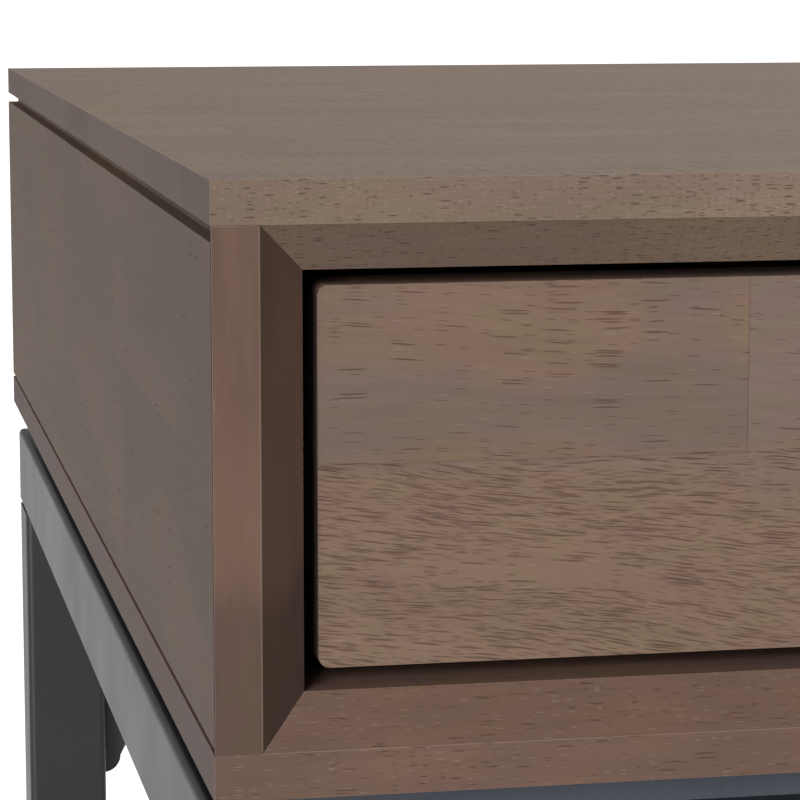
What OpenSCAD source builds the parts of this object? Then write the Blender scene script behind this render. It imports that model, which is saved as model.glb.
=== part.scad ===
/* [Overall] */
// Width of the table, left to right
table_w = 508; // [400:1:640]
// Depth of the table, front to back
table_d = 508; // [430:1:640]
// Height of the table, floor to top
table_h = 560; // [420:1:680]
// Height of the wooden case that holds the drawer
case_h = 112; // [90:1:150]

/* [Case] */
// Visible edge thickness of the top board
top_edge_t = 8; // [6:0.1:14]
// Visible edge thickness of the bottom board
bottom_edge_t = 8.6; // [6:0.1:14]
// Flat front width of each stile
stile_land_w = 8.8; // [5:0.1:16]
// Depth of the stiles and of the boards' chamfered noses
stile_d = 26; // [20:0.5:40]
// Chamfer round the inside of the front frame
chamfer = 9; // [5:0.1:11]
// Thickness of the side and back panels
panel_t = 12; // [9:0.5:15]
// Height of the shadow groove under the top board
top_groove_h = 3; // [1:0.1:6]
// Height of the shadow groove over the bottom board
bottom_groove_h = 1.3; // [0.5:0.1:4]
// Depth of both shadow grooves
groove_d = 3; // [1:0.1:4]
// Diameter of the case dowels
case_dowel_d = 6; // [4:0.5:6]
// Length of a case dowel in its panel
case_dowel_l = 12; // [8:1:20]
// Wood left over the end of a blind hole
blind_skin = 2.6; // [1.5:0.1:4]

/* [Drawer] */
// Gap round the drawer front
reveal = 3.3; // [2:0.1:5]
// Setback of the drawer front from the front plane
drawer_setback = 12.8; // [0:0.1:20]
// Thickness of the drawer front
drawer_front_t = 16; // [12:0.5:20]
// Corner radius of the drawer front
drawer_corner_r = 2.2; // [0.5:0.1:5]
// Thickness of the drawer box walls
box_wall_t = 12; // [9:0.5:16]
// Thickness of the drawer bottom
box_bottom_t = 5; // [3:0.5:8]
// Depth of the groove that holds the drawer bottom
box_groove_d = 5; // [3:0.5:7]
// Side play of the drawer bottom in its groove
box_groove_play = 0.5; // [0.2:0.1:1]
// Height of the drawer bottom over the walls' lower edge
box_bottom_rise = 8; // [5:0.5:12]
// Space over and under the drawer box in the case
box_space_z = 9; // [6:0.5:16]
// Space behind the drawer box for the push latch
rear_space = 57.2; // [50:0.1:80]
// Diameter of the drawer box dowels
box_dowel_d = 6; // [4:0.5:8]
// Length of a drawer box dowel
box_dowel_l = 30; // [24:1:40]

/* [Slides] */
// Height of a slide's outer channel
slide_h = 35; // [30:0.5:45]
// Width of a closed slide
slide_w = 12.7; // [12:0.1:14]
// Sheet thickness of the slides
slide_t = 1.2; // [1:0.1:1.4]
// Gap between two channels, where the balls run
race_gap = 2.8; // [2.6:0.1:3]
// Diameter of the slide balls
ball_d = 2.7; // [2.5:0.05:2.9]
// Balls in one row
balls_per_row = 6; // [3:1:9]
// Distance from ball to ball
ball_pitch = 16; // [10:1:20]
// Slides come in steps of this length
slide_step = 50; // [25:25:50]
// Travel that a slide's length doesn't give
slide_overlap = 20; // [10:5:40]
// Distance from the drawer front's back to the slides
slide_inset = 3; // [1:0.5:8]

/* [Push latch] */
// Length of the latch barrel
barrel_l = 36; // [28:1:40]
// Outside diameter of the latch barrel
barrel_d = 14; // [13:0.5:18]
// Diameter of the plunger
plunger_d = 7; // [5:0.5:8]
// Inward travel that releases the plunger
plunger_travel = 3; // [2:0.5:5]
// Gap between the drawer and the plunger's tip
latch_gap = 0.5; // [0.4:0.1:2]
// Diameter of the spring wire
spring_wire_d = 0.9; // [0.6:0.1:1.2]
// Turns of the spring
spring_turns = 6; // [4:1:8]

/* [Steel base] */
// Outside width of the square tube
tube_w = 25.4; // [20:0.1:32]
// Wall of the square tube
tube_wall = 1.5; // [1:0.1:2.5]
// Outside corner radius of the square tube
tube_r = 2; // [1:0.1:3]
// Setback of the base from the case's sides
base_inset = 1.5; // [0:0.1:10]
// Height of the open gap between base and case
float_gap = 9; // [5:0.5:20]
// Width of the spacer bars in that gap
spacer_w = 10; // [10:0.5:14]
// Length of a gusset along the rail
gusset_x = 50; // [30:1:70]
// Length of a gusset down the leg
gusset_z = 92; // [60:1:120]
// Thickness of a gusset
gusset_t = 4; // [3:0.5:6]
// Width of a gusset's rounded toe
gusset_toe = 6; // [4:0.5:10]
// Visible height of a foot cap
foot_h = 4; // [3:0.5:8]
// Depth of a foot cap's plug in the leg
foot_plug_h = 14; // [8:1:24]
// Side play of a foot cap's plug
foot_play = 0.1; // [0.05:0.05:0.3]

/* [Fasteners] */
// Diameter of the base bolts
bolt_d = 6; // [5:0.5:6]
// Diameter of the clearance holes for the base bolts
bolt_hole_d = 6.6; // [6.2:0.1:7]
// Distance of the base bolts from the middle of each side
bolt_offset = 150; // [100:1:170]
// Outside diameter of the threaded inserts
insert_d = 9; // [8:0.5:10]
// Length of the threaded inserts
insert_l = 12; // [8:0.5:13]
// Diameter of the wood screws
screw_d = 3.5; // [3:0.1:3.6]
// Head diameter of the wood screws
screw_head_d = 6.8; // [6:0.1:7.5]
// Head height of the wood screws
screw_head_h = 2; // [1.5:0.1:2.4]

/* [Hidden] */
$fn = 48;

wood = [0.50, 0.43, 0.38];
wood_edge = [0.46, 0.38, 0.33];
beech = [0.78, 0.66, 0.50];
ply = [0.80, 0.70, 0.55];
steel_dark = [0.22, 0.22, 0.23];
zinc = [0.72, 0.73, 0.75];
black = [0.10, 0.10, 0.10];
brass = [0.72, 0.58, 0.30];
eps = 0.01;

// The case stands on the base; its front face is the plane y = front_y
front_y = -table_d / 2;
back_y = table_d / 2;
case_z = table_h - case_h;
stile_w = stile_land_w + chamfer;
opening_w = table_w - 2 * stile_w;
opening_z0 = case_z + bottom_edge_t + chamfer;
opening_z1 = table_h - top_edge_t - chamfer;
panel_z0 = case_z + bottom_edge_t;
panel_z1 = table_h - top_edge_t;
case_dowel_pitch = 0.38 * table_d;
case_dowel_ys = [for (k = [-1:1]) k * case_dowel_pitch];

// Drawer
front_w = opening_w - 2 * reveal;
front_z0 = opening_z0 + reveal;
front_h = opening_z1 - reveal - front_z0;
box_y0 = front_y + drawer_setback + drawer_front_t;
box_y1 = back_y - panel_t - rear_space;
box_l = box_y1 - box_y0;
box_w = opening_w - 2 * slide_w;
box_in_w = box_w - 2 * box_wall_t;
box_z0 = opening_z0 + box_space_z;
box_h = opening_z1 - box_space_z - box_z0;
bottom_z = box_z0 + box_bottom_rise;
box_dowel_zs = [bottom_z + box_bottom_t + box_dowel_d, box_z0 + box_h - 1.5 * box_dowel_d];

// Slides
slide_l = slide_step * floor((box_l - slide_inset) / slide_step);
slide_y0 = box_y0 + slide_inset;
slide_z = box_z0 + box_h / 2;
packer_t = stile_w - panel_t;
outer_half_h = slide_h / 2;
middle_half_h = outer_half_h - slide_t - race_gap;
inner_half_h = middle_half_h - slide_t - race_gap;
middle_u = 3;
middle_flange = 6.6;
outer_flange = 8.5;
inner_flange = 7.2;
cage_t = 0.8;
outer_cage_u = 1.7;
outer_cage_flange = 5.6;
inner_cage_u = middle_u + slide_t + 0.3;
inner_cage_flange = 4.3;
outer_ball_u = 5.8;
inner_ball_u = 7.3;
case_screw_ys = [for (k = [0.12, 0.5, 0.88]) slide_y0 + k * slide_l];
drawer_screw_ys = [for (k = [0.08, 0.42, 0.9]) slide_y0 + k * slide_l];
screw_grip = 8;
screw_skin = 2;
case_screw_l = packer_t + screw_grip;
drawer_screw_l = box_wall_t - screw_skin;
front_screw_l = box_wall_t + screw_grip + screw_skin;
front_screw_x = 0.34 * box_in_w;
front_screw_zs = [bottom_z + box_bottom_t + screw_head_d, box_z0 + box_h - 1.5 * screw_head_d];

// Push latch, on the middle of the back panel
latch_z = slide_z;
plate_t = 3;
plate_w = 16;
plate_h = 40;
plate_r = 3;
plate_screw_inset = 6;
barrel_y1 = back_y - panel_t - plate_t;
barrel_y0 = barrel_y1 - barrel_l;
barrel_wall = 1.8;
bore_d = barrel_d - 2 * barrel_wall;
plunger_play = 0.3;
tip_t = 4;
tip_d = 10;
tip_y0 = box_y1 + latch_gap;
collar_t = 3;
collar_inset = 10;
collar_y0 = barrel_y0 + barrel_wall + collar_inset;
spring_r = bore_d / 3;
spring_y0 = collar_y0 + collar_t;
spring_y1 = barrel_y1 - barrel_wall;

// Base
base_w = table_w - 2 * base_inset;
base_d = table_d - 2 * base_inset;
rail_z1 = case_z - float_gap;
rail_z0 = rail_z1 - tube_w;
tube_mid = tube_w / 2;
corner_x = base_w / 2 - tube_mid;
corner_y = base_d / 2 - tube_mid;
spacer_mid = tube_w - spacer_w / 2;
bolt_line_x = base_w / 2 - spacer_mid;
bolt_line_y = base_d / 2 - spacer_mid;
bolt_points = [
    for (s = [-1, 1], t = [-1, 1]) [s * bolt_offset, t * bolt_line_y],
    for (s = [-1, 1], t = [-1, 1]) [s * bolt_line_x, t * bolt_offset]
];
washer_d = 12;
washer_t = 1.2;
head_d = 10.5;
head_h = 3.3;
bolt_z1 = case_z + insert_l;

// ---------- shared shapes ----------

// Children are drawn on the left; side = 1 mirrors them to the right
module on_side(side) {
    if (side < 0) children();
    else mirror([1, 0, 0]) children();
}

// Children are drawn at the front; end = 1 mirrors them to the back
module at_end(end) {
    if (end < 0) children();
    else mirror([0, 1, 0]) children();
}

module rounded_square(size, r) {
    square([size[0] - 2 * r, size[1]], center = true);
    square([size[0], size[1] - 2 * r], center = true);
    for (x = [-1, 1], y = [-1, 1])
        translate([x * (size[0] / 2 - r), y * (size[1] / 2 - r)]) circle(r);
}

module tube_section() {
    difference() {
        rounded_square([tube_w, tube_w], tube_r);
        rounded_square([tube_w - 2 * tube_wall, tube_w - 2 * tube_wall], tube_r - tube_wall / 2);
    }
}

// An outline drawn in X and Z, extruded along Y from y0 to y1
module extrude_y(y0, y1) {
    translate([0, y1, 0]) rotate([90, 0, 0]) linear_extrude(y1 - y0) children();
}

// A rod along Y from y0 to y1
module rod_y(y0, y1, d) {
    translate([0, y0, 0]) rotate([-90, 0, 0]) cylinder(h = y1 - y0, d = d);
}

// A countersunk screw along +Z with its head's face at z = 0
module countersunk_screw(length) {
    cylinder(h = screw_head_h, d1 = screw_head_d, d2 = screw_d);
    cylinder(h = length, d = screw_d);
}

// ---------- case ----------

// Front view of the space inside the four mitres, from the outer face of a board inwards
module nose_outline(edge_t) {
    polygon([
        [-table_w / 2, 0], [table_w / 2, 0], [table_w / 2, edge_t],
        [table_w / 2 - stile_land_w, edge_t], [table_w / 2 - stile_w, edge_t + chamfer],
        [stile_w - table_w / 2, edge_t + chamfer], [stile_land_w - table_w / 2, edge_t],
        [-table_w / 2, edge_t]
    ]);
}

// Plan of the left side panel, mitred into the stile at the front
module panel_plan() {
    translate([-table_w / 2, front_y])
        polygon([[0, 0], [panel_t, panel_t], [panel_t, table_d], [0, table_d]]);
}

// A board with its outer face down: a thin lip all round, a thick middle and a chamfered nose
module case_board(edge_t) {
    translate([-table_w / 2, front_y, 0]) cube([table_w, table_d, edge_t]);
    translate([panel_t - table_w / 2, front_y + stile_d, 0])
        cube([table_w - 2 * panel_t, table_d - stile_d - panel_t, edge_t + chamfer]);
    difference() {
        intersection() {
            rotate([90, 0, 90]) linear_extrude(table_w, center = true)
                polygon([
                    [front_y, 0], [front_y + stile_d, 0], [front_y + stile_d, edge_t + chamfer],
                    [front_y + chamfer, edge_t + chamfer], [front_y, edge_t]
                ]);
            extrude_y(front_y - 1, front_y + stile_d + 1) nose_outline(edge_t);
        }
        for (side = [-1, 1])
            on_side(side)
                translate([0, 0, edge_t]) linear_extrude(chamfer + 1) panel_plan();
    }
}

// Case dowels in the left half of the case
module case_dowels_left() {
    for (y = case_dowel_ys)
        translate([(groove_d + panel_t) / 2 - table_w / 2, y, 0]) {
            translate([0, 0, case_z + blind_skin])
                cylinder(h = bottom_edge_t - blind_skin + case_dowel_l, d = case_dowel_d);
            translate([0, 0, panel_z1 - case_dowel_l])
                cylinder(h = top_edge_t - blind_skin + case_dowel_l, d = case_dowel_d);
        }
}

module case_dowel_set() {
    on_side(-1) case_dowels_left();
    on_side(1) case_dowels_left();
}

module top_board() {
    color(wood)
        difference() {
            translate([0, 0, table_h]) mirror([0, 0, 1]) case_board(top_edge_t);
            case_dowel_set();
        }
}

module bottom_board() {
    color(wood)
        difference() {
            translate([0, 0, case_z]) case_board(bottom_edge_t);
            case_dowel_set();
            insert_set();
        }
}

module stile(side) {
    color(wood_edge)
        on_side(side) translate([-table_w / 2, 0, 0])
            intersection() {
                translate([0, front_y, panel_z0])
                    linear_extrude(panel_z1 - panel_z0)
                        polygon([
                            [0, 0], [stile_land_w, 0], [stile_w, chamfer], [stile_w, stile_d],
                            [panel_t, stile_d], [panel_t, panel_t]
                        ]);
                extrude_y(front_y - 1, front_y + stile_d + 1)
                    polygon([
                        [0, panel_z0], [stile_land_w, panel_z0], [stile_w, opening_z0],
                        [stile_w, opening_z1], [stile_land_w, panel_z1], [0, panel_z1]
                    ]);
            }
}

// Rebates along a panel's outer face, which leave the two shadow grooves
module panel_grooves(length) {
    translate([-eps, -eps, panel_z0 - eps])
        cube([groove_d + eps, length + 2 * eps, bottom_groove_h + eps]);
    translate([-eps, -eps, panel_z1 - top_groove_h])
        cube([groove_d + eps, length + 2 * eps, top_groove_h + eps]);
}

module left_grooves() {
    translate([-table_w / 2, front_y, 0]) panel_grooves(table_d);
}

module back_grooves() {
    translate([-table_w / 2, back_y, 0]) rotate([0, 0, -90]) panel_grooves(table_w);
}

module side_panel(side) {
    color(wood)
        on_side(side)
            difference() {
                translate([0, 0, panel_z0]) linear_extrude(panel_z1 - panel_z0) panel_plan();
                left_grooves();
                back_grooves();
                case_dowels_left();
                slide_case_screws_left();
            }
}

module back_panel() {
    color(wood)
        difference() {
            translate([panel_t - table_w / 2, back_y - panel_t, panel_z0])
                cube([table_w - 2 * panel_t, panel_t, panel_z1 - panel_z0]);
            back_grooves();
            latch_screw_set();
        }
}

module case_dowels() {
    color(beech) case_dowel_set();
}

// ---------- drawer ----------

module drawer_front() {
    color(wood)
        difference() {
            extrude_y(front_y + drawer_setback, box_y0)
                translate([0, front_z0 + front_h / 2]) rounded_square([front_w, front_h], drawer_corner_r);
            front_screw_set();
        }
}

// The drawer bottom, with its edges in the walls' grooves
module bottom_plate(play) {
    translate([0, box_y0 + box_wall_t - box_groove_d + play, bottom_z])
        translate([-(box_in_w / 2 + box_groove_d - play), 0, 0])
            cube([box_in_w + 2 * (box_groove_d - play), box_l - 2 * box_wall_t + 2 * (box_groove_d - play),
                  box_bottom_t]);
}

module drawer_side(side) {
    color(beech)
        difference() {
            on_side(side) translate([-box_w / 2, box_y0, box_z0]) cube([box_wall_t, box_l, box_h]);
            bottom_plate(0);
            drawer_dowel_set();
            on_side(side) slide_drawer_screws_left();
        }
}

module cross_wall(y) {
    difference() {
        translate([-box_in_w / 2, y, box_z0]) cube([box_in_w, box_wall_t, box_h]);
        bottom_plate(0);
        drawer_dowel_set();
        front_screw_set();
    }
}

module drawer_inner_front() {
    color(beech) cross_wall(box_y0);
}

module drawer_box_back() {
    color(beech) cross_wall(box_y1 - box_wall_t);
}

module drawer_bottom() {
    color(ply) bottom_plate(box_groove_play);
}

module drawer_dowel_set() {
    for (side = [-1, 1])
        on_side(side)
            for (y = [box_y0 + box_wall_t / 2, box_y1 - box_wall_t / 2], z = box_dowel_zs)
                translate([-box_w / 2, y, z]) rotate([0, 90, 0]) cylinder(h = box_dowel_l, d = box_dowel_d);
}

module drawer_dowels() {
    color(beech) drawer_dowel_set();
}

// Pan-head screws from inside the box into the drawer front
module front_screw_set() {
    for (x = [-1, 1], z = front_screw_zs)
        translate([x * front_screw_x, box_y0 + box_wall_t, z]) {
            rotate([90, 0, 0]) cylinder(h = front_screw_l, d = screw_d);
            rotate([-90, 0, 0]) cylinder(h = screw_head_h, d1 = screw_head_d, d2 = 0.7 * screw_head_d);
        }
}

module drawer_front_screws() {
    color(zinc) front_screw_set();
}

// ---------- slides ----------

// Section of a channel that opens inwards: u is the distance from the case's slide face
module channel_section(u, flange, half_h, t, opens) {
    web_u = opens > 0 ? u : u + flange - t;
    translate([web_u, -half_h]) square([t, 2 * half_h]);
    for (z = [-half_h, half_h - t])
        translate([u, z]) square([flange, t]);
}

// Draws a slide part along Y at one side: children are a section in u and z
module along_slide(side, y0, length) {
    on_side(side)
        translate([stile_w - table_w / 2, 0, slide_z])
            extrude_y(y0, y0 + length) children();
}

module slide_packer(side) {
    color(beech)
        on_side(side)
            difference() {
                translate([panel_t - table_w / 2, slide_y0, slide_z - slide_h / 2])
                    cube([packer_t, slide_l, slide_h]);
                slide_case_screws_left();
            }
}

module slide_outer(side) {
    color(zinc)
        difference() {
            along_slide(side, slide_y0, slide_l)
                channel_section(0, outer_flange, outer_half_h, slide_t, 1);
            on_side(side) slide_case_screws_left();
        }
}

module slide_middle(side) {
    color(zinc)
        along_slide(side, slide_y0, slide_l)
            channel_section(middle_u, middle_flange, middle_half_h, slide_t, 1);
}

module slide_inner(side) {
    color(zinc)
        difference() {
            along_slide(side, slide_y0, slide_l)
                channel_section(slide_w - inner_flange, inner_flange, inner_half_h, slide_t, -1);
            on_side(side) slide_drawer_screws_left();
        }
}

// A ball cage: a thin channel with a row of balls in each flange
module ball_cage(side, u, flange, race_z, ball_u) {
    cage_l = balls_per_row * ball_pitch;
    cage_y0 = slide_y0 + (slide_l - cage_l) / 2;
    color(zinc) {
        along_slide(side, cage_y0, cage_l)
            channel_section(u, flange, race_z + cage_t / 2, cage_t, 1);
        on_side(side)
            for (k = [0:balls_per_row - 1], z = [-1, 1])
                translate([stile_w - table_w / 2 + ball_u, cage_y0 + (k + 0.5) * ball_pitch, slide_z + z * race_z])
                    sphere(d = ball_d);
    }
}

module outer_ball_cage(side) {
    ball_cage(side, outer_cage_u, outer_cage_flange, middle_half_h + race_gap / 2, outer_ball_u);
}

module inner_ball_cage(side) {
    ball_cage(side, inner_cage_u, inner_cage_flange, inner_half_h + race_gap / 2, inner_ball_u);
}

// Screws through the left outer channel and packer into the side panel
module slide_case_screws_left() {
    for (y = case_screw_ys)
        translate([stile_w - table_w / 2 + slide_t, y, slide_z]) rotate([0, -90, 0])
            countersunk_screw(case_screw_l + slide_t);
}

module slide_case_screws() {
    color(zinc) {
        on_side(-1) slide_case_screws_left();
        on_side(1) slide_case_screws_left();
    }
}

// Screws through the left inner channel into the drawer side
module slide_drawer_screws_left() {
    for (y = drawer_screw_ys)
        translate([-box_w / 2 - slide_t, y, slide_z]) rotate([0, 90, 0])
            countersunk_screw(drawer_screw_l + slide_t);
}

module slide_drawer_screws() {
    color(zinc) {
        on_side(-1) slide_drawer_screws_left();
        on_side(1) slide_drawer_screws_left();
    }
}

// ---------- push latch ----------

module latch_body() {
    color(black)
        translate([0, 0, latch_z])
            difference() {
                union() {
                    rod_y(barrel_y0, barrel_y1, barrel_d);
                    extrude_y(barrel_y1, barrel_y1 + plate_t) rounded_square([plate_w, plate_h], plate_r);
                }
                rod_y(barrel_y0 + barrel_wall, barrel_y1 - barrel_wall, bore_d);
                rod_y(barrel_y0 - 1, barrel_y0 + barrel_wall + 1, plunger_d + 2 * plunger_play);
                translate([0, 0, -latch_z]) latch_screw_set();
            }
}

module latch_plunger() {
    color(zinc)
        translate([0, 0, latch_z]) {
            rod_y(tip_y0 + tip_t, collar_y0, plunger_d);
            rod_y(collar_y0, collar_y0 + collar_t, bore_d - 2 * plunger_play);
        }
}

module latch_tip() {
    color(black) translate([0, 0, latch_z]) rod_y(tip_y0, tip_y0 + tip_t, tip_d);
}

// One ring of the spring's wire, after the given number of turns
function spring_ring(turns, sides) = [
    for (k = [0:sides - 1])
        let (
            b = 360 * k / sides,
            r = spring_r + spring_wire_d / 2 * cos(b),
            y = spring_y0 + spring_wire_d / 2 * (1 + sin(b))
                + (spring_y1 - spring_y0 - spring_wire_d) * turns / spring_turns
        )
            [r * cos(360 * turns), y, r * sin(360 * turns)]
];

module latch_spring() {
    sides = 6;
    rings_per_turn = 12;
    last = rings_per_turn * spring_turns;
    points = [for (i = [0:last]) each spring_ring(i / rings_per_turn, sides)];
    skin = [
        for (i = [0:last - 1], k = [0:sides - 1])
            let (next = (k + 1) % sides)
                [i * sides + k, i * sides + next, (i + 1) * sides + next, (i + 1) * sides + k]
    ];
    start_cap = [for (k = [0:sides - 1]) sides - 1 - k];
    end_cap = [for (k = [0:sides - 1]) last * sides + k];
    color(zinc)
        translate([0, 0, latch_z])
            polyhedron(points, concat(skin, [start_cap], [end_cap]), convexity = 10);
}

// Screws through the latch plate into the back panel
module latch_screw_set() {
    for (z = [-1, 1])
        translate([0, barrel_y1, latch_z + z * (plate_h / 2 - plate_screw_inset)]) rotate([-90, 0, 0])
            countersunk_screw(plate_t + screw_grip);
}

module latch_screws() {
    color(zinc) latch_screw_set();
}

// ---------- steel base ----------

// A rail or spacer along X at the front, mitred at both ends
module mitre_front() {
    intersection() {
        children();
        translate([0, 0, rail_z0 - 1])
            linear_extrude(case_z - rail_z0 + 2)
                polygon([
                    [-base_w / 2, -base_d / 2], [base_w / 2, -base_d / 2],
                    [0, -base_d / 2 + base_w / 2]
                ]);
    }
}

// The same at the left, along Y
module mitre_left() {
    intersection() {
        children();
        translate([0, 0, rail_z0 - 1])
            linear_extrude(case_z - rail_z0 + 2)
                polygon([
                    [-base_w / 2, -base_d / 2], [-base_w / 2, base_d / 2],
                    [base_d / 2 - base_w / 2, 0]
                ]);
    }
}

module rail_x(end) {
    color(steel_dark)
        difference() {
            at_end(end) mitre_front()
                translate([-base_w / 2, tube_mid - base_d / 2, rail_z0 + tube_mid])
                    rotate([90, 0, 90]) linear_extrude(base_w) tube_section();
            bolt_holes();
        }
}

module rail_y(side) {
    color(steel_dark)
        difference() {
            on_side(side) mitre_left()
                translate([tube_mid - base_w / 2, 0, rail_z0 + tube_mid])
                    extrude_y(-base_d / 2, base_d / 2) tube_section();
            bolt_holes();
        }
}

module spacer_x(end) {
    color(steel_dark)
        difference() {
            at_end(end) mitre_front()
                translate([-base_w / 2, tube_w - spacer_w - base_d / 2, rail_z1])
                    cube([base_w, spacer_w, float_gap]);
            bolt_holes();
        }
}

module spacer_y(side) {
    color(steel_dark)
        difference() {
            on_side(side) mitre_left()
                translate([tube_w - spacer_w - base_w / 2, -base_d / 2, rail_z1])
                    cube([spacer_w, base_d, float_gap]);
            bolt_holes();
        }
}

module bolt_holes() {
    for (p = bolt_points)
        translate([p[0], p[1], rail_z0 - 1]) cylinder(h = case_z - rail_z0 + 2, d = bolt_hole_d);
}

module leg(side, end) {
    color(steel_dark)
        translate([side * corner_x, end * corner_y, foot_h])
            linear_extrude(rail_z0 - foot_h) tube_section();
}

// A plate that tapers from the rail down to a rounded toe on the leg
module gusset(side, end) {
    inner_x = corner_x - tube_mid;
    toe = [
        for (a = [0:-10:-90])
            [gusset_toe * cos(a), gusset_toe * sin(a) + gusset_toe - gusset_z]
    ];
    color(steel_dark)
        on_side(side)
            translate([-inner_x, 0, rail_z0])
                extrude_y(end * corner_y - gusset_t / 2, end * corner_y + gusset_t / 2)
                    polygon(concat([[0, 0], [gusset_x, 0], [gusset_x, -gusset_toe / 2]], toe));
}

// A plastic cap with a plug that fills the leg's lower end
module foot(side, end) {
    plug_w = tube_w - 2 * tube_wall - 2 * foot_play;
    color(black)
        translate([side * corner_x, end * corner_y, 0]) {
            linear_extrude(foot_h) rounded_square([tube_w, tube_w], tube_r);
            translate([0, 0, foot_h]) linear_extrude(foot_plug_h)
                rounded_square([plug_w, plug_w], tube_r - tube_wall / 2);
        }
}

// ---------- base fasteners ----------

module insert_set() {
    for (p = bolt_points)
        translate([p[0], p[1], case_z]) cylinder(h = insert_l, d = insert_d);
}

module case_inserts() {
    color(brass)
        difference() {
            insert_set();
            for (p = bolt_points)
                translate([p[0], p[1], case_z - 1]) cylinder(h = insert_l + 2, d = bolt_d);
        }
}

module base_bolts() {
    color(zinc)
        for (p = bolt_points)
            translate([p[0], p[1], 0]) {
                translate([0, 0, rail_z0 - washer_t - head_h])
                    cylinder(h = head_h, d1 = 0.75 * head_d, d2 = head_d);
                translate([0, 0, rail_z0 - washer_t])
                    cylinder(h = bolt_z1 - rail_z0 + washer_t, d = bolt_d);
            }
}

module base_washers() {
    color(zinc)
        for (p = bolt_points)
            translate([p[0], p[1], rail_z0 - washer_t])
                difference() {
                    cylinder(h = washer_t, d = washer_d);
                    translate([0, 0, -1]) cylinder(h = washer_t + 2, d = bolt_hole_d);
                }
}

// ---------- one line for each node ----------

top_board();
bottom_board();
stile(-1);  // stile_left
stile(1);  // stile_right
side_panel(-1);  // side_panel_left
side_panel(1);  // side_panel_right
back_panel();
case_dowels();
drawer_front();
drawer_inner_front();
drawer_side(-1);  // drawer_side_left
drawer_side(1);  // drawer_side_right
drawer_box_back();
drawer_bottom();
drawer_dowels();
drawer_front_screws();
slide_packer(-1);  // slide_packer_left
slide_packer(1);  // slide_packer_right
slide_outer(-1);  // slide_outer_left
slide_outer(1);  // slide_outer_right
slide_middle(-1);  // slide_middle_left
slide_middle(1);  // slide_middle_right
slide_inner(-1);  // slide_inner_left
slide_inner(1);  // slide_inner_right
outer_ball_cage(-1);  // outer_ball_cage_left
outer_ball_cage(1);  // outer_ball_cage_right
inner_ball_cage(-1);  // inner_ball_cage_left
inner_ball_cage(1);  // inner_ball_cage_right
slide_case_screws();
slide_drawer_screws();
latch_body();
latch_plunger();
latch_tip();
latch_spring();
latch_screws();
spacer_x(-1);  // spacer_front
spacer_x(1);  // spacer_back
spacer_y(-1);  // spacer_left
spacer_y(1);  // spacer_right
rail_x(-1);  // rail_front
rail_x(1);  // rail_back
rail_y(-1);  // rail_left
rail_y(1);  // rail_right
leg(-1, -1);  // leg_front_left
leg(1, -1);  // leg_front_right
leg(-1, 1);  // leg_back_left
leg(1, 1);  // leg_back_right
gusset(-1, -1);  // gusset_front_left
gusset(1, -1);  // gusset_front_right
gusset(-1, 1);  // gusset_back_left
gusset(1, 1);  // gusset_back_right
foot(-1, -1);  // foot_front_left
foot(1, -1);  // foot_front_right
foot(-1, 1);  // foot_back_left
foot(1, 1);  // foot_back_right
case_inserts();
base_bolts();
base_washers();
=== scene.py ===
"""Looks of a side table with a drawer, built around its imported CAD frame."""
import math

import bmesh
import bpy
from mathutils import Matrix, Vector


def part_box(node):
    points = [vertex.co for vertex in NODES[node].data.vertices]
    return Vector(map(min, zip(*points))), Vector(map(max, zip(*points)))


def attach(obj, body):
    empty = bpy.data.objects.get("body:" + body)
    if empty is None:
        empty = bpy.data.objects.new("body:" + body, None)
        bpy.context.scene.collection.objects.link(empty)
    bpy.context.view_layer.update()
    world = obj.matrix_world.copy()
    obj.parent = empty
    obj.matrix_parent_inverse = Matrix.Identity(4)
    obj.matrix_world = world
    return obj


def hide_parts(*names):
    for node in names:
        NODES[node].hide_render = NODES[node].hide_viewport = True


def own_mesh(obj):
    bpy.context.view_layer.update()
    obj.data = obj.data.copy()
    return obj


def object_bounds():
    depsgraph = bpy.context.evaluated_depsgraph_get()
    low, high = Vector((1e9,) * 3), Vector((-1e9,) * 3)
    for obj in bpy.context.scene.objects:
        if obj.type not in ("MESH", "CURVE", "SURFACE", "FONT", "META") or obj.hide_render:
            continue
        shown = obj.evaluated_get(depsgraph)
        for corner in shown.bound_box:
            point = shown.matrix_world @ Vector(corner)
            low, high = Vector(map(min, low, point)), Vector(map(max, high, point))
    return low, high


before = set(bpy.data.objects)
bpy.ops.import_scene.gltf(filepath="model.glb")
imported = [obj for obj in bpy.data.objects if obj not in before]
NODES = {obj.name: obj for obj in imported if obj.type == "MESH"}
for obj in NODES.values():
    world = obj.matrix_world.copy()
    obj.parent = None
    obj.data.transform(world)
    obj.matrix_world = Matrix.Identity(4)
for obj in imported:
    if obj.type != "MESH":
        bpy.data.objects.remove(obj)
CAD_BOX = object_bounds()
LOW, HIGH = (Vector(corner) for corner in CAD_BOX)
SIDES = ("left", "right")
ENDS = ("front", "back")
MM = 0.001
GOLDEN = 0.618


# ---------- small helpers ----------

def srgb(red, green, blue):
    """A 0 to 255 screen colour as a linear RGBA colour."""
    def linear(value):
        value /= 255
        return value / 12.92 if value <= 0.04045 else ((value + 0.055) / 1.055) ** 2.4
    return (linear(red), linear(green), linear(blue), 1)


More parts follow.
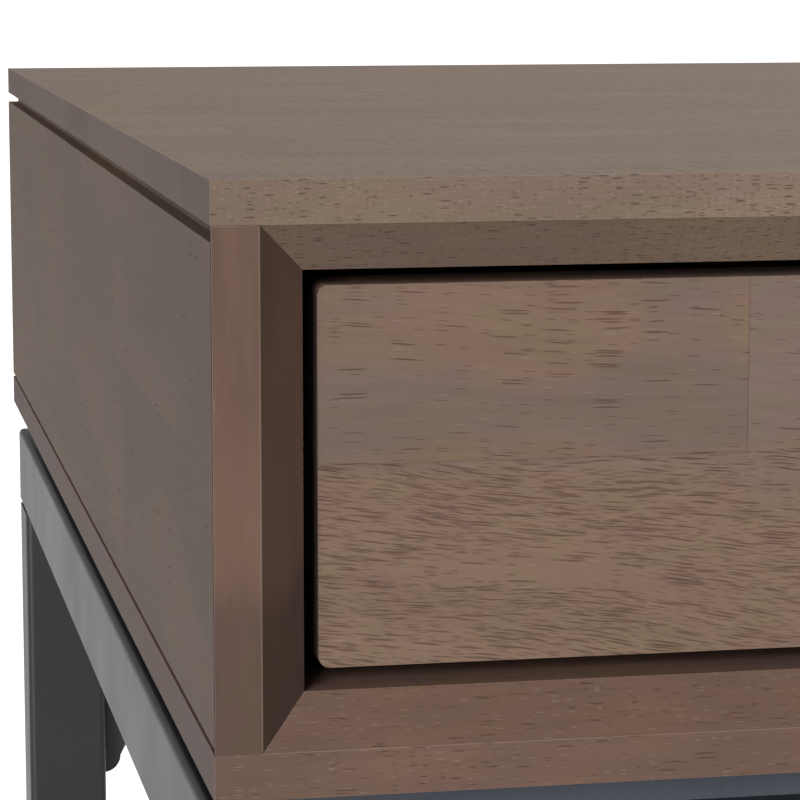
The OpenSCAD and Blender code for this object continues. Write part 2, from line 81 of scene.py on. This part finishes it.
class Shader:
    """A material's node tree with short calls for the nodes that this script needs."""

    def __init__(self, name):
        self.material = bpy.data.materials.new(name)
        self.material.use_nodes = True
        self.tree = self.material.node_tree
        self.surface = self.tree.nodes["Principled BSDF"]

    def node(self, kind, inputs=(), **settings):
        made = self.tree.nodes.new("ShaderNode" + kind)
        for key, value in settings.items():
            setattr(made, key, value)
        for key, value in dict(inputs).items():
            if isinstance(value, bpy.types.NodeSocket):
                self.tree.links.new(value, made.inputs[key])
            else:
                made.inputs[key].default_value = value
        return made

    def math(self, operation, first, second=0.0, third=0.0):
        return self.node("Math", {0: first, 1: second, 2: third}, operation=operation).outputs[0]

    def step(self, value, start, end):
        """0 at start, 1 at end, smooth between them."""
        made = self.node("MapRange", {"Value": value, "From Min": start, "From Max": end},
                         interpolation_type="SMOOTHSTEP")
        return made.outputs["Result"]

    def mix(self, factor, first, second, blend="MIX"):
        made = self.node("Mix", {0: factor, 6: first, 7: second}, data_type="RGBA", blend_type=blend)
        return made.outputs[2]

    def vector(self, x, y, z):
        return self.node("CombineXYZ", {0: x, 1: y, 2: z}).outputs[0]

    def add(self, first, second):
        return self.node("VectorMath", {0: first, 1: second}, operation="ADD").outputs[0]

    def about(self, value, middle, spread):
        """A 0 to 1 value as a value of that middle, spread by up to half the spread each way."""
        return self.math("MULTIPLY_ADD", value, spread, middle - spread / 2)

    def shaded(self, colour, shade):
        return self.mix(1.0, colour, self.vector(shade, shade, shade), "MULTIPLY")

    def noise(self, vector, scale, detail=2.0, roughness=0.5):
        made = self.node("TexNoise", {"Vector": self.stretch(vector, scale), "Scale": 1.0,
                                      "Detail": detail, "Roughness": roughness})
        return made.outputs["Fac"]

    def stretch(self, vector, scale):
        return self.node("VectorMath", {0: vector, 1: scale}, operation="MULTIPLY").outputs[0]

    def place(self):
        """The point on the piece, in metres, as it lies at rest."""
        return self.node("TexCoord").outputs["Object"]

    def set(self, **values):
        for key, value in values.items():
            name = key.replace("_", " ").title().replace("Ior", "IOR")
            if isinstance(value, bpy.types.NodeSocket):
                self.tree.links.new(value, self.surface.inputs[name])
            else:
                self.surface.inputs[name].default_value = value

    def bump(self, height, distance, strength=1.0):
        made = self.node("Bump", {"Height": height, "Distance": distance, "Strength": strength})
        self.tree.links.new(made.outputs[0], self.surface.inputs["Normal"])


# ---------- materials ----------

def stave_layout(shader, along, cross, rows, seed):
    """Rows of staves, cut into blocks. Gives each block's tone from 0 to 1 and its offset in the noises, 1 on
    a glue joint, and 1 over the first joint."""
    if not rows:
        return 0.5, (seed, 2.3 * seed, 3.1 * seed), 0.0, 0.0
    first, width, length, butt = rows
    row = shader.math("DIVIDE", shader.math("SUBTRACT", cross, first), width)
    row_number = shader.math("FLOOR", row)
    shift = shader.math("FRACT", shader.math("MULTIPLY", row_number, GOLDEN))
    shift = shader.math("MULTIPLY", shift, length)
    block = shader.math("DIVIDE", shader.math("ADD", shader.math("SUBTRACT", along, butt), shift), length)
    chance = shader.node("TexWhiteNoise",
                         {"Vector": shader.vector(row_number, shader.math("FLOOR", block), seed)},
                         noise_dimensions="3D")
    to_row = shader.math("MULTIPLY", shader.math("PINGPONG", row, 0.5), width)
    to_butt = shader.math("MULTIPLY", shader.math("PINGPONG", block, 0.5), length)
    joint = shader.step(shader.math("MINIMUM", to_row, to_butt), 0.25 * MM, 0.08 * MM)
    offset = shader.stretch(chance.outputs["Color"], (7, 5, 3))
    return chance.outputs["Value"], offset, joint, shader.math("GREATER_THAN", cross, first)


def fibre_flow(shader, point, along, cross, slope):
    """How far across the wood a fibre lies, which wanders slowly, ripples a little and leans by slope."""
    wander = shader.noise(point, (11, 26, 26), detail=1.0)
    ripple = shader.noise(point, (70, 160, 160), detail=1.0)
    sway = shader.math("MULTIPLY_ADD", shader.math("SUBTRACT", wander, 0.5), 14 * MM, cross)
    sway = shader.math("MULTIPLY_ADD", shader.math("SUBTRACT", ripple, 0.5), 1 * MM, sway)
    return shader.math("MULTIPLY_ADD", along, slope, sway)


def brown_zone(shader, along, cross, figure, zone):
    """A patch with a ragged edge, browner by its amount, or lighter if that is below 0."""
    centre, level, half_length, half_width, amount = zone
    reach = shader.vector(shader.math("DIVIDE", shader.math("SUBTRACT", along, centre), half_length),
                          shader.math("DIVIDE", shader.math("SUBTRACT", cross, level), half_width), 0.0)
    away = shader.node("VectorMath", {0: reach}, operation="LENGTH").outputs["Value"]
    away = shader.math("MULTIPLY_ADD", shader.math("SUBTRACT", figure, 0.5), 1.6, away)
    return shader.math("MULTIPLY", shader.step(away, 1.5, 0.45), amount)


def open_pores(shader, fibre_point, brown_mask, share, fineness, flecks):
    """Dark vessels in two sizes, fewer in the brown wood, and light flecks among the small ones."""
    crowd = shader.noise(fibre_point, (14, 60, 60), detail=1.0)
    crowd = shader.math("MULTIPLY", shader.step(crowd, 0.15, 0.55), share)
    crowd = shader.math("MULTIPLY", crowd, shader.math("MULTIPLY_ADD", brown_mask, -0.75, 1.0))
    dark = 0.0
    for length, width, depth in ((105, 2700, 1.0), (250, 3600, 0.7)):
        scale = (length * fineness, width, width)
        vessel = shader.node("TexVoronoi", {"Vector": shader.stretch(fibre_point, scale), "Scale": 1.0})
        size = shader.step(vessel.outputs["Distance"], 0.42, 0.20)
        chosen = shader.node("SeparateColor", {0: vessel.outputs["Color"]}).outputs[0]
        found = shader.math("MULTIPLY", size, shader.math("LESS_THAN", chosen, crowd))
        dark = shader.math("MAXIMUM", dark, shader.math("MULTIPLY", found, depth))
    light = shader.math("MULTIPLY", size, shader.math("GREATER_THAN", chosen, 1 - flecks))
    return dark, light


def wood(name, grain, across, tan, brown, pore, end_tone, pores=1.0, upper_pores=None, fineness=1.0,
         rows=None, lean=(0.03, 0.03), zones=(), seed=0.0, gloss=0.6, flecks=0.06, arris_highlight=0.0):
    """Stained wood with its fibres along the axis grain, and staves side by side along the axis across.
    rows is (first joint, stave width, block length, first butt joint). lean is the fibres' slope under and
    over the first joint. A zone is (along, across, half length, half width, amount of brown). pores and
    upper_pores are the shares of dark vessels under and over the first joint, flecks is that of light flecks,
    and fineness shortens both. end_tone colours the end grain, and the edge-lightening argument mixes an
    eased edge towards a pale tone, partly rubbed wear and partly a painted highlight."""
    mottle_strength, end_strength, pore_strength, fleck_strength, joint_strength = 0.26, 0.8, 0.58, 0.17, 0.18
    face_specular, arris_specular, dry_pore = 0.13, 0.5, 0.2
    fibre_rise, joint_depth = 0.25, 0.6
    shader = Shader(name)
    split = shader.node("SeparateXYZ", {0: shader.place()}).outputs
    third = ({"X", "Y", "Z"} - {grain, across}).pop()
    along, cross, deep = split[grain], split[across], split[third]
    block_tone, offset, joint, upper = stave_layout(shader, along, cross, rows, seed)
    slope = shader.math("MULTIPLY_ADD", upper, lean[1] - lean[0], lean[0])
    if upper_pores is not None:
        pores = shader.math("MULTIPLY_ADD", upper, upper_pores - pores, pores)

    point = shader.add(shader.vector(along, cross, deep), offset)
    flow = fibre_flow(shader, point, along, cross, slope)
    fibre_point = shader.add(shader.vector(along, flow, deep), offset)
    figure = shader.noise(fibre_point, (6, 55, 55), detail=3.0)
    patch = shader.noise(point, (11, 34, 24), detail=2.0, roughness=0.55)
    streak = shader.noise(fibre_point, (26, 480, 480), detail=2.0)
    fibre = shader.noise(fibre_point, (110, 2600, 2600), detail=2.0, roughness=0.7)
    mottle = shader.noise(point, (75, 150, 150), detail=2.0)

    brownness = shader.math("ADD", patch, shader.about(block_tone, 0.0, 0.24))
    for zone in zones:
        brownness = shader.math("ADD", brownness, brown_zone(shader, along, cross, figure, zone))
    brown_mask = shader.step(brownness, 0.34, 0.68)
    colour = shader.mix(brown_mask, tan, brown)
    tint = shader.mix(shader.step(mottle, 0.35, 0.65), MOTTLE_PINK, MOTTLE_OLIVE)
    colour = shader.mix(mottle_strength, colour, tint, "OVERLAY")
    shade = shader.about(figure, 1.0, 0.24)
    for lines, spread in ((streak, 0.22), (fibre, 0.24), (block_tone, 0.10)):
        shade = shader.math("ADD", shade, shader.about(lines, 0.0, spread))
    colour = shader.shaded(colour, shade)

    facing = shader.node("SeparateXYZ", {0: shader.node("TexCoord").outputs["Normal"]}).outputs[grain]
    end_grain = shader.step(shader.math("ABSOLUTE", facing), 0.75, 0.95)
    colour = shader.mix(shader.math("MULTIPLY", end_grain, end_strength), colour, end_tone)

    dark, light = open_pores(shader, fibre_point, brown_mask, pores, fineness, flecks)
    colour = shader.mix(shader.math("MULTIPLY", dark, pore_strength), colour, pore)
    colour = shader.mix(shader.math("MULTIPLY", light, fleck_strength), colour, FLECK)
    colour = shader.mix(shader.math("MULTIPLY", joint, joint_strength), colour, pore)
    # Painted highlight along the eased edge: its colour is mixed towards a pale tone, partly rubbed wear.
    if arris_highlight:
        colour = shader.mix(arris_highlight, colour, ARRIS_HIGHLIGHT_TONE)
    roughness = shader.math("MULTIPLY_ADD", dark, dry_pore, shader.about(fibre, gloss, 0.12))
    shader.set(base_color=colour, roughness=roughness,
               specular_ior_level=arris_specular if arris_highlight else face_specular)
    relief = shader.math("SUBTRACT", shader.math("MULTIPLY", fibre, fibre_rise), dark)
    relief = shader.math("SUBTRACT", relief, shader.math("MULTIPLY", joint, joint_depth))
    shader.bump(relief, 0.05 * MM)
    return shader.material


def powder_coat(name, colour, roughness=0.42):
    """Fine orange peel with a little cloudiness in the tone."""
    shader = Shader(name)
    point = shader.place()
    peel = shader.noise(point, (1300, 1300, 1300), detail=2.0)
    cloud = shader.noise(point, (30, 30, 30), detail=2.0)
    tone = shader.math("ADD", shader.about(peel, 0.87, 0.30), shader.about(cloud, 0.0, 0.24))
    shader.set(base_color=shader.shaded(colour, tone), roughness=shader.about(cloud, roughness, 0.14))
    shader.bump(peel, 0.05 * MM, 0.5)
    return shader.material


def plated(name, colour, roughness=0.28, drawn="Y"):
    """Plated steel with faint drawing lines along one axis."""
    shader = Shader(name)
    along, fine = 60, 2200
    scale = tuple(along if axis == drawn else fine for axis in "XYZ")
    lines = shader.noise(shader.place(), scale, detail=2.0)
    bloom = shader.noise(shader.place(), (45, 45, 45), detail=3.0)
    roughness = shader.math("ADD", shader.about(lines, roughness, 0.16), shader.about(bloom, 0.0, 0.16))
    shader.set(base_color=shader.shaded(colour, shader.about(bloom, 0.92, 0.16)), metallic=1.0,
               roughness=roughness)
    shader.bump(lines, 0.004 * MM, 0.4)
    return shader.material


def moulded(name, colour, roughness=0.55):
    """Plastic or rubber with a spark-eroded grain."""
    shader = Shader(name)
    grain = shader.noise(shader.place(), (2400, 2400, 2400), detail=2.0)
    haze = shader.noise(shader.place(), (60, 60, 60), detail=2.0)
    shader.set(base_color=shader.shaded(colour, shader.about(haze, 1.0, 0.5)),
               roughness=shader.about(grain, roughness, 0.2))
    shader.bump(grain, 0.03 * MM, 0.6)
    return shader.material


def wear(node, material, ease=0.0, arris=None):
    """Gives a CAD node its material and, for a piece with sharp edges, an eased arris of that width."""
    piece = NODES[node]
    for number in range(max(1, len(piece.material_slots))):
        if number < len(piece.material_slots):
            piece.material_slots[number].material = material
        else:
            piece.data.materials.append(material)
    if ease:
        weld = piece.modifiers.new("weld", "WELD")
        weld.merge_threshold = 0.001 * MM
        bevel = piece.modifiers.new("ease", "BEVEL")
        bevel.width = ease
        bevel.segments = 3
        bevel.limit_method = "ANGLE"
        bevel.angle_limit = math.radians(35)
        bevel.harden_normals = True
        if arris:
            piece.data.materials.append(arris)
            bevel.material = len(piece.data.materials) - 1


TAN = srgb(136, 113, 98)
BROWN = srgb(127, 109, 101)
PORE = srgb(70, 42, 34)
END_TONE = srgb(96, 82, 78)
# The top board's tones are lighter and paler than the front's: partly its own tone, partly a painted sheen.
TOP_TAN_AND_SHEEN = srgb(141, 122, 106)
TOP_BROWN_AND_SHEEN = srgb(130, 112, 100)
BOTTOM_TAN = srgb(124, 99, 86)
BOTTOM_BROWN = srgb(112, 90, 82)
# The side's tones are darker than the front's as painted shade, for the side turned away from the key light.
SHADED_SIDE_TAN = srgb(105, 90, 78)
SHADED_SIDE_BROWN = srgb(97, 83, 75)
STILE_TAN = srgb(120, 95, 84)
STILE_BROWN = srgb(99, 80, 72)
BEECH = dict(tan=srgb(214, 186, 148), brown=srgb(200, 168, 128), pore=srgb(150, 112, 76),
             end_tone=srgb(178, 146, 106), gloss=0.5)
MOTTLE_PINK = srgb(192, 180, 184)
MOTTLE_OLIVE = srgb(190, 190, 160)
FLECK = srgb(205, 186, 170)
# The pale tone of the eased edges: partly rubbed wear, partly a painted highlight.
ARRIS_HIGHLIGHT_TONE = srgb(214, 198, 182)

front_low, front_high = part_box("drawer_front")
glue_line = front_low.z + 0.533 * (front_high.z - front_low.z)
butt_joint = front_low.x + 81.6 * MM
tone_change = butt_joint - 24.7 * MM
FRONT_ZONES = (
    (butt_joint - 12 * MM, glue_line + 19 * MM, 13 * MM, 20 * MM, 0.30),
    (front_low.x + 30 * MM, glue_line + 9 * MM, 60 * MM, 9 * MM, 0.30),
    (tone_change - 15 * MM, glue_line + 27 * MM, 15 * MM, 11 * MM, -0.35),
    (front_low.x + 60 * MM, glue_line - 22 * MM, 180 * MM, 20 * MM, -0.30),
    (butt_joint + 6 * MM, glue_line - 10 * MM, 8 * MM, 6 * MM, 0.15),
)
STILE_ZONES = (
    (glue_line - 48 * MM, 0.0, 26 * MM, 1.0, 0.55),
    (glue_line + 2 * MM, 0.0, 30 * MM, 1.0, -0.22),
)
WOODS = {
    "top": dict(grain="X", across="Y", tan=TOP_TAN_AND_SHEEN, brown=TOP_BROWN_AND_SHEEN, pores=0.5, fineness=3.0, flecks=0.3,
                seed=1.7, rows=(LOW.y + 40 * MM, 62 * MM, 420 * MM, 30 * MM)),
    "bottom": dict(grain="X", across="Y", tan=BOTTOM_TAN, brown=BOTTOM_BROWN, pores=0.2, fineness=1.4,
                   flecks=0.12, seed=3.2, rows=(LOW.y + 40 * MM, 70 * MM, 500 * MM, 100 * MM)),
    "front": dict(grain="X", across="Z", tan=TAN, brown=BROWN, pores=1.5, upper_pores=0.3, flecks=0.03,
                  seed=5.1, lean=(0.11, 0.05), rows=(glue_line, 38 * MM, 240 * MM, butt_joint),
                  zones=FRONT_ZONES),
    # The side panels' darker tones are painted shade.
    "side": dict(grain="Y", across="Z", tan=SHADED_SIDE_TAN, brown=SHADED_SIDE_BROWN, pores=0.03, flecks=0.0, seed=8.4,
                 rows=(glue_line, 52 * MM, 400 * MM, 50 * MM)),
    "back": dict(grain="X", across="Z", tan=TAN, brown=BROWN, pores=0.3, seed=4.6,
                 rows=(glue_line, 52 * MM, 400 * MM, 120 * MM)),
    "stile": dict(grain="Z", across="X", tan=STILE_TAN, brown=STILE_BROWN, pores=0.0, flecks=0.003, seed=9.9,
                  zones=STILE_ZONES),
}
# Each board's share of that pale tone on its eased edges: painted highlight and rubbed wear.
ARRIS_HIGHLIGHT_SHARE = {"top": 0.24, "bottom": 0.34, "front": 0.16, "side": 0.10, "back": 0.12, "stile": 0.05}
FACE = {name: wood(f"{name}_wood", pore=PORE, end_tone=END_TONE, **look) for name, look in WOODS.items()}
ARRIS = {name: wood(f"{name}_arris", pore=PORE, end_tone=END_TONE, arris_highlight=ARRIS_HIGHLIGHT_SHARE[name], gloss=0.42, **look)
         for name, look in WOODS.items()}
box_wood = wood("box_wood", "Y", "Z", pores=0.7, seed=2.2, **BEECH)
cross_wood = wood("cross_wood", "X", "Z", pores=0.7, seed=6.3, **BEECH)
ply_wood = wood("ply_wood", "X", "Y", pores=0.3, seed=7.7, **BEECH)
coat = powder_coat("charcoal_coat", srgb(29, 29, 31))
# The spacers' paler blue-grey is partly their own coat and partly a painted reflection of the light in front.
spacer_coat_and_reflection = powder_coat("grey_coat_and_reflection", srgb(92, 96, 106))
weld_coat = powder_coat("weld_coat", srgb(33, 33, 35), 0.36)
zinc = plated("zinc_plate", srgb(196, 199, 204))
yellow = plated("turned_brass", srgb(200, 168, 100), drawn="Z")
black = moulded("black_plastic", srgb(30, 30, 31))
rubber = moulded("black_rubber", srgb(38, 37, 37), 0.75)


# ---------- the CAD nodes ----------

def dress_case():
    wear("top_board", FACE["top"], 0.4 * MM, ARRIS["top"])
    wear("bottom_board", FACE["bottom"], 0.6 * MM, ARRIS["bottom"])
    wear("back_panel", FACE["back"], 0.3 * MM, ARRIS["back"])
    wear("case_dowels", box_wood)
    wear("case_inserts", yellow)
    for side in SIDES:
        wear(f"side_panel_{side}", FACE["side"], 0.3 * MM, ARRIS["side"])
        wear(f"stile_{side}", FACE["stile"], 0.25 * MM, ARRIS["stile"])


def dress_drawer():
    wear("drawer_front", FACE["front"], 0.6 * MM, ARRIS["front"])
    wear("drawer_inner_front", cross_wood, 0.5 * MM)
    wear("drawer_box_back", cross_wood, 0.5 * MM)
    wear("drawer_bottom", ply_wood)
    wear("drawer_dowels", box_wood)
    wear("drawer_front_screws", zinc)
    for side in SIDES:
        wear(f"drawer_side_{side}", box_wood, 0.5 * MM)


def dress_slides():
    wear("slide_case_screws", zinc)
    wear("slide_drawer_screws", zinc)
    for side in SIDES:
        wear(f"slide_packer_{side}", box_wood)
        for part in ("slide_outer", "slide_middle", "slide_inner", "outer_ball_cage", "inner_ball_cage"):
            wear(f"{part}_{side}", zinc)


def dress_latch():
    wear("latch_body", black, 0.3 * MM)
    wear("latch_tip", rubber, 0.3 * MM)
    wear("latch_plunger", zinc)
    wear("latch_screws", zinc)


def dress_base():
    wear("base_bolts", zinc)
    wear("base_washers", zinc)
    for place in SIDES + ENDS:
        wear(f"spacer_{place}", spacer_coat_and_reflection)
        wear(f"rail_{place}", coat)
    for corner in (f"{end}_{side}" for end in ENDS for side in SIDES):
        wear(f"leg_{corner}", coat)
        wear(f"gusset_{corner}", coat, 0.4 * MM)
        wear(f"foot_{corner}", black, 0.5 * MM)


dress_case()
dress_drawer()
dress_slides()
dress_latch()
dress_base()


# ---------- welds and spring ----------

def ring(centre, across, up, radius, sides=8):
    """A ring of points around centre, in the plane of the unit vectors across and up."""
    turns = (2 * math.pi * side / sides for side in range(sides))
    return [centre + radius * (math.cos(turn) * across + math.sin(turn) * up) for turn in turns]


def add_tube(mesh, rings):
    """Joins rings of points, one after another, into a closed tube with capped ends."""
    loops = [[mesh.verts.new(point) for point in points] for points in rings]
    for low, high in zip(loops, loops[1:]):
        for side in range(len(low)):
            mesh.faces.new((low[side], low[side - 1], high[side - 1], high[side]))
    mesh.faces.new(loops[0])
    mesh.faces.new(reversed(loops[-1]))


def add_piece(name, mesh, material):
    """Makes an object of a finished bmesh, smooth, fixed to the case, with its finish."""
    bmesh.ops.recalc_face_normals(mesh, faces=mesh.faces)
    data = bpy.data.meshes.new(name)
    mesh.to_mesh(data)
    mesh.free()
    data.polygons.foreach_set("use_smooth", [True] * len(data.polygons))
    data.materials.append(material)
    piece = bpy.data.objects.new(name, data)
    bpy.context.collection.objects.link(piece)
    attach(piece, "case_and_base")
    return piece


def add_bead(mesh, start, end, radius):
    """A rippled weld bead from start to end, thinner at its ends."""
    pitch, taper, ripple = 1.5 * MM, 12, 0.10
    run = end - start
    across = Vector((0, 1, 0))
    up = run.normalized().cross(across)
    count = 4 * max(2, round(run.length / pitch))
    rings = []
    for number in range(count + 1):
        share = number / count
        swell = math.sin(math.pi / 2 * min(1.0, taper * share, taper * (1 - share)))
        size = radius * (0.35 + 0.65 * swell) * (1 + ripple * math.cos(math.pi * number / 2))
        rings.append(ring(start + share * run, across, up, size))
    add_tube(mesh, rings)


def add_welds():
    """Beads on both faces of each gusset, along the leg and along the rail."""
    mesh = bmesh.new()
    radius, clear = 1.3 * MM, 3 * MM
    for side in SIDES:
        for end in ENDS:
            low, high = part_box(f"gusset_{end}_{side}")
            leg_x, tip_x = (low.x, high.x) if side == "left" else (high.x, low.x)
            inwards = 1 if side == "left" else -1
            for y in (low.y, high.y):
                add_bead(mesh, Vector((leg_x, y, low.z + 2 * clear)),
                         Vector((leg_x, y, high.z - clear)), radius)
                add_bead(mesh, Vector((leg_x + inwards * clear, y, high.z)),
                         Vector((tip_x - inwards * clear, y, high.z)), radius)
    add_piece("weld_beads", mesh, weld_coat)


def add_spring():
    """The latch's coil with a closed turn at each end, in place of the hidden CAD spring."""
    low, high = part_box("latch_spring")
    middle = (low + high) / 2
    wire, turns, steps = 0.45 * MM, 7, 28
    closed_pitch = 2.02 * wire
    length = high.y - low.y
    open_pitch = (length - 2 * wire - 2 * closed_pitch) / (turns - 2)
    coil = (high.x - low.x) / 2 - wire
    rings = []
    for number in range(turns * steps + 1):
        turn = number / steps
        closed = min(turn, 1.0) + max(turn - turns + 1, 0.0)
        y = low.y + wire + closed * closed_pitch + (turn - closed) * open_pitch
        outwards = Vector((math.cos(2 * math.pi * turn), 0, math.sin(2 * math.pi * turn)))
        centre = Vector((middle.x, y, middle.z)) + coil * outwards
        rings.append(ring(centre, outwards, Vector((0, 1, 0)), wire))
    mesh = bmesh.new()
    add_tube(mesh, rings)
    spring = add_piece("latch_coil", mesh, zinc)
    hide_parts("latch_spring")
    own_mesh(spring)


add_welds()
add_spring()


# ---------- camera, floor and light ----------

def add_camera():
    """A long lens, low and close to the upper front-left corner."""
    from_corner = Vector((-71.3, -538.5, 40.5)) * MM
    tilt, turn = 81.68, -11.05
    data = bpy.data.cameras.new("camera")
    data.lens = 139.9
    data.sensor_width = 36
    camera = bpy.data.objects.new("camera", data)
    camera.location = Vector((LOW.x, LOW.y, HIGH.z)) + from_corner
    camera.rotation_euler = (math.radians(tilt), 0, math.radians(turn))
    bpy.context.collection.objects.link(camera)
    bpy.context.scene.camera = camera


def add_floor():
    """A wide pale floor; only the camera sees its full brightness, so it bounces little light."""
    half, seen_glow, mirrored_glow = 60, 0.68, 0.85
    mesh = bpy.data.meshes.new("floor")
    corners = [(-half, -half, 0), (half, -half, 0), (half, half, 0), (-half, half, 0)]
    mesh.from_pydata(corners, [], [(0, 1, 2, 3)])
    shader = Shader("floor")
    path = shader.node("LightPath").outputs
    glow = shader.math("MULTIPLY", path["Is Camera Ray"], seen_glow)
    glow = shader.math("MULTIPLY_ADD", path["Is Glossy Ray"], mirrored_glow, glow)
    shader.set(base_color=shader.mix(path["Is Camera Ray"], srgb(112, 111, 110), srgb(235, 235, 235)),
               roughness=0.9, emission_color=(1, 1, 1, 1), emission_strength=glow)
    mesh.materials.append(shader.material)
    floor = bpy.data.objects.new("floor", mesh)
    bpy.context.collection.objects.link(floor)


def add_sun(name, azimuth, elevation, strength, softness):
    """A soft distant light. Azimuth 0 is straight in front of the drawer and grows to the right."""
    data = bpy.data.lights.new(name, "SUN")
    data.energy = strength
    data.angle = math.radians(softness)
    lamp = bpy.data.objects.new(name, data)
    turn, rise = math.radians(azimuth), math.radians(elevation)
    towards = Vector((math.sin(turn) * math.cos(rise), -math.cos(turn) * math.cos(rise), math.sin(rise)))
    lamp.rotation_euler = towards.to_track_quat("Z", "Y").to_euler()
    bpy.context.collection.objects.link(lamp)


def add_world():
    """White to the camera, softer in reflections, and dim as a fill light."""
    fill, mirrored, seen = 0.05, 0.35, 1.0
    world = bpy.data.worlds.new("studio")
    world.use_nodes = True
    tree = world.node_tree
    path = tree.nodes.new("ShaderNodeLightPath")
    level = fill
    for ray, strength in (("Is Glossy Ray", mirrored), ("Is Camera Ray", seen)):
        chosen = tree.nodes.new("ShaderNodeMix")
        tree.links.new(path.outputs[ray], chosen.inputs[0])
        if isinstance(level, float):
            chosen.inputs[2].default_value = level
        else:
            tree.links.new(level, chosen.inputs[2])
        chosen.inputs[3].default_value = strength
        level = chosen.outputs[0]
    tree.links.new(level, tree.nodes["Background"].inputs["Strength"])
    tree.nodes["Background"].inputs["Color"].default_value = (1, 1, 1, 1)
    bpy.context.scene.world = world


add_camera()
add_floor()
add_world()
add_sun("key", azimuth=-32, elevation=15, strength=3.1, softness=30)
add_sun("back", azimuth=150, elevation=50, strength=1.4, softness=40)
bpy.context.scene.view_settings.view_transform = "Standard"
